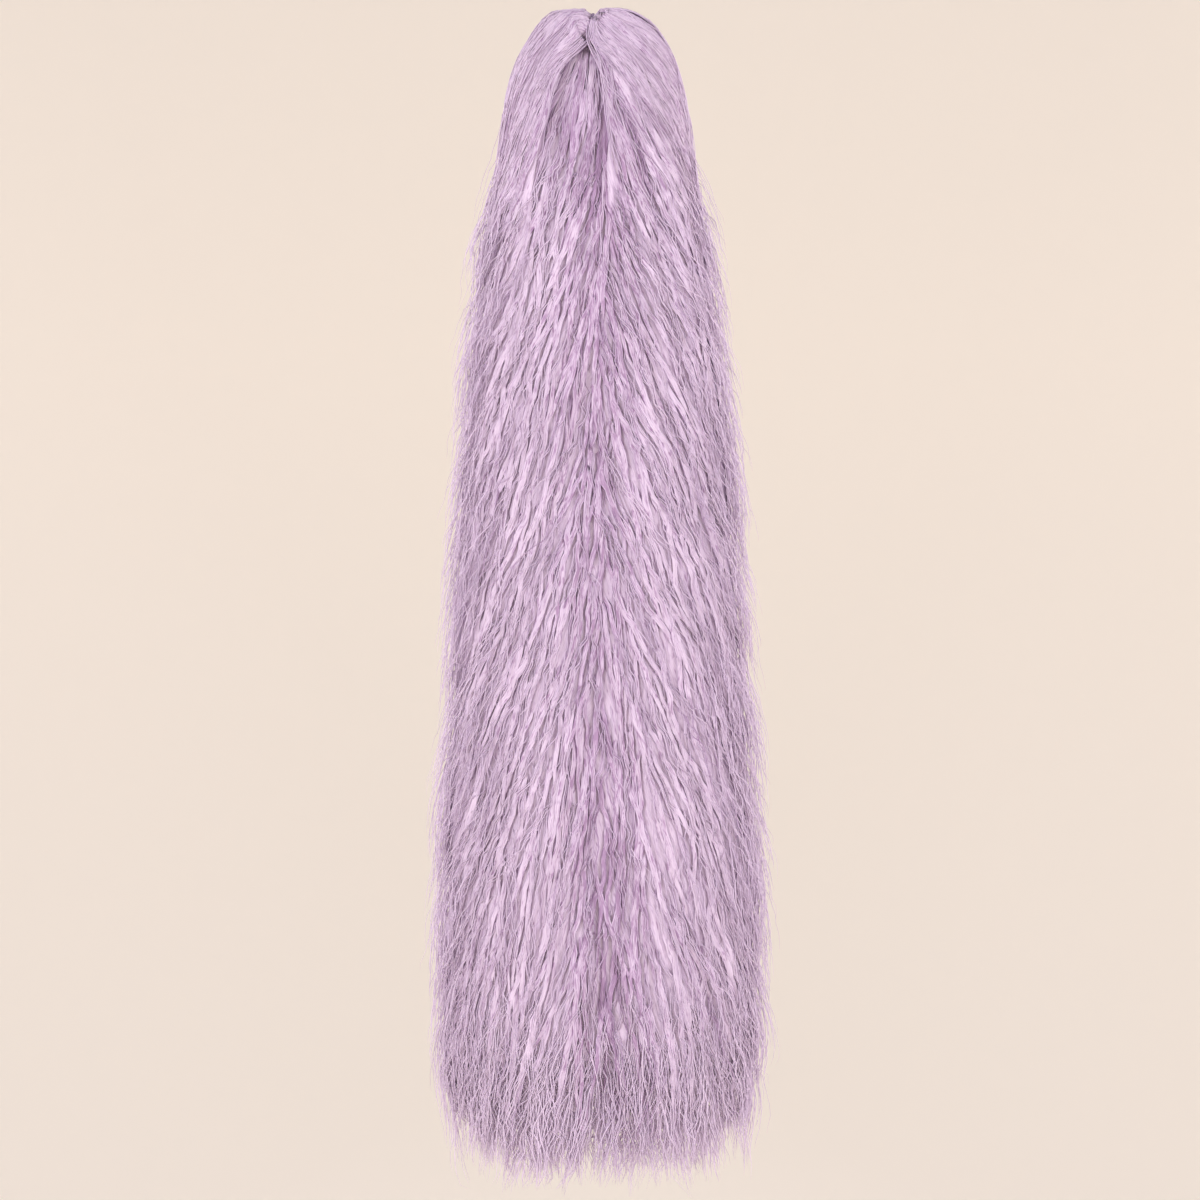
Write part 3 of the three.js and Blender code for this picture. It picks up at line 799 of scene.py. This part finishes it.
# Strands: loose groups that lie over the tufts and cross them
strands = {
    "count": 480,
    "from": 110 * mm,
    "to": 0.9,
    "shift": 0.37,
    "tone": (0.56, 0.05, 0.11),
    "ridges": 1,
    "strands": 3,
    "rings": 22,
    "upper": 10,
    "length": (60 * mm, 105 * mm),
    "width": (0.4 * mm, 0.7 * mm),
    "thick": 0.34 * mm,
    "halfWidth": (0.8 * mm, 2.8 * mm),
    "wave": 0.9 * mm,
    "waveLength": (15 * mm, 28 * mm),
    "crimp": 0.35 * mm,
    "crimpLength": (9 * mm, 14 * mm),
    "lift": (-0.4 * mm, 0.5 * mm),
    "sideDrop": 1.2 * mm,
    "dive": 2.2 * mm,
    "tipDive": (-1.0 * mm, 2.5 * mm),
    "leaves": 0.6,
    "root": 0.45,
    "tip": 0.3,
    "tipStarts": 0.7,
    "tilt": 9,
    "gather": (1.0, 1.0),
}
piecesByFall("strands", strands, overBody(strands))
print("strands made")

# Wisps: fine single strands whose tips stand a little off, which softens the outline
wisps = {
    "count": 1800,
    "from": 115 * mm,
    "to": 0.94,
    "shift": 0.19,
    "tone": (0.46, 0.0, 0.14),
    "ridges": 1,
    "strands": 1,
    "rings": 16,
    "upper": 7,
    "length": (40 * mm, 80 * mm),
    "width": (0.38 * mm, 0.6 * mm),
    "thick": 0.36 * mm,
    "halfWidth": (0.0, 0.0),
    "wave": 1.0 * mm,
    "waveLength": (14 * mm, 30 * mm),
    "crimp": 0.35 * mm,
    "crimpLength": (9 * mm, 14 * mm),
    "lift": (-0.5 * mm, 1.2 * mm),
    "sideDrop": 0.0,
    "dive": 2.5 * mm,
    "tipDive": (-8.0 * mm, 0.5 * mm),
    "leaves": 0.1,
    "root": 0.45,
    "tip": 0.5,
    "tipStarts": 0.6,
    "tilt": 10,
    "gather": (0.2, 0.9),
}
piecesByFall("wisps", wisps, overBody(wisps))
print("wisps made")

# The arches: every strand here comes out of the tie and fans over its arch
crownTufts = dict(tufts, ridges=4, thick=0.55 * mm, root=0.85, rings=27, upper=15, wave=0.6 * mm,
                  length=(45 * mm, 75 * mm), width=(2.6 * mm, 4.2 * mm), lift=(-1.0 * mm, 0.0), tilt=3,
                  count={-1: 100, 1: 110}, atEdges={-1: 24, 1: 0}, inset=0.06)
crownStrands = dict(strands, strands=4, rings=24, upper=13, wave=0.6 * mm, crimp=0.25 * mm,
                    length=(45 * mm, 75 * mm), lift=(-0.4 * mm, 0.4 * mm), tilt=4, shift=0.4,
                    count={-1: 50, 1: 70}, atEdges={-1: 0, 1: 0}, inset=0.02)
fan = {
    "middles": (12 * mm, 125 * mm),  # how far along the form the paths' middles lie
    "edgeMiddles": (12 * mm, 45 * mm),  # of those that fill the arch's two edges
    "edgeFront": (0.08, 0.3),  # the places of those
    "edgeBack": (1.7, 1.92),
    "least": 16 * mm,  # from where the arch starts to a middle
    "reach": 100 * mm,  # the longest way back up to the tie
    "dive": 2.5 * mm,  # under the others, where a path can't reach the tie
    "tipDive": 3 * mm,
    # lower than the body tufts' tone, and lowest on the left: painted shade over the arches
    "tone": {-1: 0.37, 1: 0.43},
    "toneSpread": (0.08, 0.1),
}


def overArch(side, size, name):
    # even places over the arch, each traced back up to where the arch leaves the tie
    count = size["count"][side]
    first, second = evenPairs(count, size["shift"])
    way, place = mix(*fan["middles"], first), mix(size["inset"], 2 - size["inset"], second)
    extra = np.arange(count) >= count - size["atEdges"][side]
    nearEdge = np.where(second < 0.5, mix(*fan["edgeFront"], 2 * second),
                        mix(*fan["edgeBack"], 2 * second - 1))
    way = np.where(extra, mix(*fan["edgeMiddles"], first), way)
    place = np.where(extra, nearEdge, place)
    way = np.maximum(way, archStart(side, place) + fan["least"])
    reach = way - archStart(side, place)
    after = rng.uniform(*size["length"], count)
    surface = lambda p, w: archPoint(side, p, w)
    lean = tilted(archLean(side), size["tilt"], count)
    start = lambda p: np.maximum(archStart(side, p), way - fan["reach"])
    made = hairPaths(surface, place, way, np.minimum(reach, fan["reach"]), after, lean, size,
                     np.where(reach > fan["reach"], fan["dive"], 0.0),
                     np.full(count, fan["tipDive"]), side, start)
    size = dict(size, tone=(fan["tone"][side], *fan["toneSpread"]))
    hairMesh(name, size, *made, tonesFor(count, size))


for side, fall in [(-1, "left_fall"), (1, "right_fall")]:
    overArch(side, crownTufts, f"{fall}_arch")
    overArch(side, crownStrands, f"{fall}_arch_strands")
print("arches made")

# The middle fall comes down from under the tie, between the arches
# their tones are lower than the body's: painted shade where the middle fall's top lies under the arches
rootTufts = dict(tufts, count=72, tone=(0.31, 0.08, 0.1))
rootStrands = dict(strands, count=46, tone=(0.38, 0.08, 0.1), shift=0.4)
below = {
    "middles": (44 * mm, 125 * mm),  # how far along the form the paths' middles lie
    "leftUnder": 0.12,  # how far they go on under each arch, in quarter turns
    "rightUnder": 0.06,
    "top": 30 * mm,  # no path starts higher than this, give or take
    "topUneven": 3 * mm,
    "leanShare": 0.6,
    "tilt": 4,
    "dive": 2.5 * mm,
}


def belowTheTie(size, name):
    # even places between the partings, every other one carried round to the back
    count = size["count"]
    first, second = evenPairs(count, size["shift"])
    way = mix(*below["middles"], first)
    left, right = -partingTurn(-1, way) - below["leftUnder"], partingTurn(1, way) + below["rightUnder"]
    turn = mix(left, right, second)
    turn = np.where(np.arange(count) % 2 == 0, turn, np.where(turn < 0, -2 - turn, 2 - turn))
    length = rng.uniform(*size["length"], count)
    before = np.minimum(way - below["top"], length * 0.5)
    top = way - before + rng.uniform(-below["topUneven"], below["topUneven"], count)
    lean = tilted(lambda u, w: below["leanShare"] * bodyLean(u, w), below["tilt"], count)
    dive = np.full(count, below["dive"])
    made = hairPaths(middlePoint, turn, way, before, length * 0.5, lean, size, dive, dive, 1, lambda u: top)
    hairMesh(name, size, *made, tonesFor(count, size))


belowTheTie(rootTufts, "middle_fall_root")
belowTheTie(rootStrands, "middle_fall_root_strands")
print("middle fall's top made")

# The hem: fine strands that hang past the packed fibre, thin out and cross
hem = {
    "count": 620,
    "from": 0.875,  # the middles of the paths, as shares of the form's length
    "to": 0.945,
    "shift": 0.61,
    # near the top of the tone ramp: painted light that offsets the shade between the thin strands
    "tone": (0.95, 0.06, 0.1),
    "ridges": 1,
    "strands": 3,
    "rings": 12,
    "upper": 5,
    "above": (30 * mm, 60 * mm),
    "width": (0.4 * mm, 0.68 * mm),
    "thick": 0.3 * mm,
    "halfWidth": (0.8 * mm, 3.5 * mm),
    "wave": 1.0 * mm,
    "waveLength": (15 * mm, 26 * mm),
    "crimp": 0.5 * mm,
    "crimpLength": (9 * mm, 14 * mm),
    "lift": (-3.6 * mm, 0.4 * mm),
    "sideDrop": 0.0,
    "dive": 3 * mm,
    "leaves": 0.6,
    "root": 0.45,
    "tip": 0.55,
    "tipStarts": 0.7,
    "tilt": 12,
    "lowestMiddle": 1.003,  # shares of the form's length: the tips round up at the sides
    "lowestLeft": 0.92,
    "lowestRight": 0.93,
    "sides": (0.6, 1.02),  # shares of half the width, over which they round up
    "uneven": (0.5, 1.03),  # shares of that length that single bundles reach
    "bunching": 0.8,  # a power below 1 gives more long ones than short ones
    "shortest": 8 * mm,
}
# its tone is raised too: painted light, as in the hem
innerHem = dict(hem, count=90, tone=(0.8, 0.06, 0.1), lift=(-26 * mm, -8 * mm))  # between front and back


def hangingTips(size, stem):
    # (lowest - way) * a random share^bunching is how far a bundle hangs below its middle
    count = size["count"]
    turn, way = evenPlaces(count, size["from"] * ways[-1], size["to"] * ways[-1], size["shift"])
    atSides = smooth(np.abs(np.sin(turn * quarter)), *size["sides"])
    lowest = np.where(turn < 0, size["lowestLeft"], size["lowestRight"])
    lowest = mix(size["lowestMiddle"], lowest, atSides)
    share = rng.uniform(*size["uneven"], count) ** size["bunching"]
    hang = np.maximum((lowest * ways[-1] - way) * share, size["shortest"])
    above = rng.uniform(*size["above"], count)
    lean = tilted(bodyLean, size["tilt"], count)
    piecesByFall(stem, size, hairPaths(bodyPoint, turn, way, above, hang, lean, size,
                                       np.full(count, size["dive"]), np.zeros(count)))


hangingTips(hem, "tips")
hangingTips(innerHem, "inner_tips")
print("tips made")

# Flyaways: the few strands that stand furthest off the outline
flyaways = dict(wisps, count=220, width=(0.24 * mm, 0.36 * mm), thick=0.24 * mm, wave=1.3 * mm,
                length=(35 * mm, 75 * mm), tipDive=(-11 * mm, -4 * mm), gather=(0.2, 0.5),
                tone=(0.3, 0.0, 0.1), shift=0.83, to=0.93)
flyaways["from"] = 90 * mm
piecesByFall("flyaways", flyaways, overBody(flyaways))
print("flyaways made")

# The tie: a ring of elastic cord in a woven cover
tie = {
    "cord": 1.1 * mm,
    "ringSteps": 96,
    "cordSteps": 16,
    "ribs": 3,
    "ribHeight": 0.1 * mm,
    "twist": 24,  # turns of the ribs in one round, times their number
    "colour": "#9c82a4",
    "ribShade": "#7a6183",
    "yarn": 0.5 * mm,
}
ringRadius = (tieHigh.z - tieLow.z) / 2 - tie["cord"]
roundRing, roundCord = np.meshgrid(np.linspace(0, 2 * math.pi, tie["ringSteps"], endpoint=False),
                                   np.linspace(0, 2 * math.pi, tie["cordSteps"], endpoint=False),
                                   indexing="ij")
# a circle carried round a circle, with three ribs that twist as a rope's do
ribs = np.cos(tie["ribs"] * roundCord + tie["twist"] * roundRing)
cordRadius = tie["cord"] - tie["ribHeight"] * (0.5 + 0.5 * ribs)
ringOut = ringRadius + cordRadius * np.cos(roundCord)
tiePoints = np.stack([cordRadius * np.sin(roundCord), ringOut * np.sin(roundRing),
                      tieMiddle + ringOut * np.cos(roundRing)], -1)
index = np.arange(roundRing.size).reshape(roundRing.shape)
nextRing, nextCord = np.roll(index, -1, 0), np.roll(index, -1, 1)
quads = np.stack([index, nextRing, np.roll(nextRing, -1, 1), nextCord], -1)
tieUvs = np.stack([roundRing * ringRadius, roundCord * tie["cord"]], -1).reshape(-1, 2)

elastic, tree = newMaterial("covered_elastic_woven_polyester")
# polyester yarn woven round rubber: matt, with fine ribs that run round the cord
uv = addNode(tree, "ShaderNodeUVMap", {"uv_map": "UVMap"})
yarn = addNode(tree, "ShaderNodeTexWave", {"bands_direction": "DIAGONAL"},
               {"Scale": 1 / (2 * math.pi * tie["yarn"]), "Distortion": 0.6, "Detail": 1.0},
               {"Vector": uv.outputs["UV"]})
colour = rampOf(tree, yarn.outputs["Fac"], [(0.0, tie["ribShade"]), (1.0, tie["colour"])])
bump = addNode(tree, "ShaderNodeBump", None, {"Strength": 0.6, "Distance": tie["ribHeight"]},
               {"Height": yarn.outputs["Fac"]})
shader = addNode(tree, "ShaderNodeBsdfPrincipled", None,
                 {"Roughness": 0.75, "IOR": 1.5, "Sheen Weight": 0.2},
                 {"Base Color": colour.outputs["Color"], "Normal": bump.outputs["Normal"]})
addNode(tree, "ShaderNodeOutputMaterial", None, None, {"Surface": shader.outputs["BSDF"]})
tiePiece = newPiece("hair_tie_cord", tiePoints.reshape(-1, 3), quads.reshape(-1), tieUvs,
                    np.full(roundRing.size, 0.5), elastic, np.full(quads.size // 4, 4))
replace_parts(tiePiece, "hair_tie")
print("tie made")

# Studio: a pale floor that curves up into a wall all round, far from the hair
studio = {
    "colour": "#f1e9df",
    "paler": "#f2eae0",  # its faint flecks
    "floor": -1.35,
    "floorRadius": 2.2,
    "cove": 1.5,
    "wallTop": 3.2,
    "glow": 0.145,  # share of the backdrop's brightness that is its own
    "key": 20.2,
    "fill": 17.4,
    "world": 0.5,
    "lampTint": "#f0f3ff",
    "steps": 96,
    "aim": (0, 0, -0.3),
}
bend = np.linspace(0, quarter, 17)
cove = np.stack([studio["floorRadius"] + studio["cove"] * np.sin(bend),
                 studio["cove"] * (1 - np.cos(bend))], -1)
wall = [[studio["floorRadius"] + studio["cove"], studio["wallTop"] - studio["floor"]]]
profile = np.concatenate([[[0.001, 0], [studio["floorRadius"] / 2, 0]], cove, wall])
roundAngle = np.linspace(0, 2 * math.pi, studio["steps"], endpoint=False)
stagePoints = np.stack([profile[:, None, 0] * np.cos(roundAngle), profile[:, None, 0] * np.sin(roundAngle),
                        studio["floor"] + profile[:, None, 1] + 0 * roundAngle], -1)
index = np.arange(stagePoints.shape[0] * studio["steps"]).reshape(-1, studio["steps"])
nextAngle = np.roll(index, -1, 1)
quads = np.stack([index[:-1], nextAngle[:-1], nextAngle[1:], index[1:]], -1).reshape(-1, 4)
stageMesh = bpy.data.meshes.new("studio_floor")
stageMesh.from_pydata(stagePoints.reshape(-1, 3).tolist(), [], quads[:, ::-1].tolist())
stageMesh.polygons.foreach_set("use_smooth", np.ones(len(quads), dtype=bool))
backdrop, tree = newMaterial("painted_cove_matt")
# matt emulsion rolled on a smooth wall: even and almost without gloss
fleck = addNode(tree, "ShaderNodeTexNoise", None, {"Scale": 3.0, "Detail": 2.0})
paint = rampOf(tree, fleck.outputs["Fac"], [(0.3, studio["colour"]), (0.7, studio["paler"])])
shader = addNode(tree, "ShaderNodeBsdfPrincipled", None,
                 {"Roughness": 0.9, "IOR": 1.45, "Emission Strength": studio["glow"]},
                 {"Base Color": paint.outputs["Color"], "Emission Color": paint.outputs["Color"]})
addNode(tree, "ShaderNodeOutputMaterial", None, None, {"Surface": shader.outputs["BSDF"]})
stageMesh.materials.append(backdrop)
floor = bpy.data.objects.new("studio_floor", stageMesh)
bpy.context.scene.collection.objects.link(floor)

world = bpy.data.worlds.new("studio_air")
world.use_nodes = True
world.node_tree.nodes["Background"].inputs["Color"].default_value = linear(studio["lampTint"])
world.node_tree.nodes["Background"].inputs["Strength"].default_value = studio["world"]
bpy.context.scene.world = world

aim = Vector(studio["aim"])
for name, place, size, watts in [("key_light", (-1.35, -1.3, 0.15), 1.1, studio["key"]),
                                 ("fill_light", (1.4, -1.25, 0.0), 1.3, studio["fill"]),
                                 ("back_light_left", (-1.4, 1.3, 0.2), 1.2, studio["fill"]),
                                 ("back_light_right", (1.4, 1.3, 0.2), 1.2, studio["fill"])]:
    lamp = bpy.data.lights.new(name, "AREA")
    lamp.shape = "DISK"
    lamp.size = size
    lamp.energy = watts
    lamp.color = linear(studio["lampTint"])[:3]
    light = bpy.data.objects.new(name, lamp)
    light.location = place
    light.rotation_euler = (aim - Vector(place)).to_track_quat("-Z", "Y").to_euler()
    light.visible_camera = False
    bpy.context.scene.collection.objects.link(light)

# Camera: level, straight in front, at the distance that gives the photograph's frame
camera = {"lens": 85.0, "sensor": 36.0, "right": 3.6 * mm, "away": 1.473, "height": -305 * mm}
cameraData = bpy.data.cameras.new("camera")
cameraData.lens = camera["lens"]
cameraData.sensor_width = camera["sensor"]
cameraObject = bpy.data.objects.new("camera", cameraData)
cameraObject.location = (camera["right"], -camera["away"], camera["height"])
cameraObject.rotation_euler = (quarter, 0, 0)
bpy.context.scene.collection.objects.link(cameraObject)
bpy.context.scene.camera = cameraObject
bpy.context.scene.view_settings.view_transform = "Standard"
print("studio made")
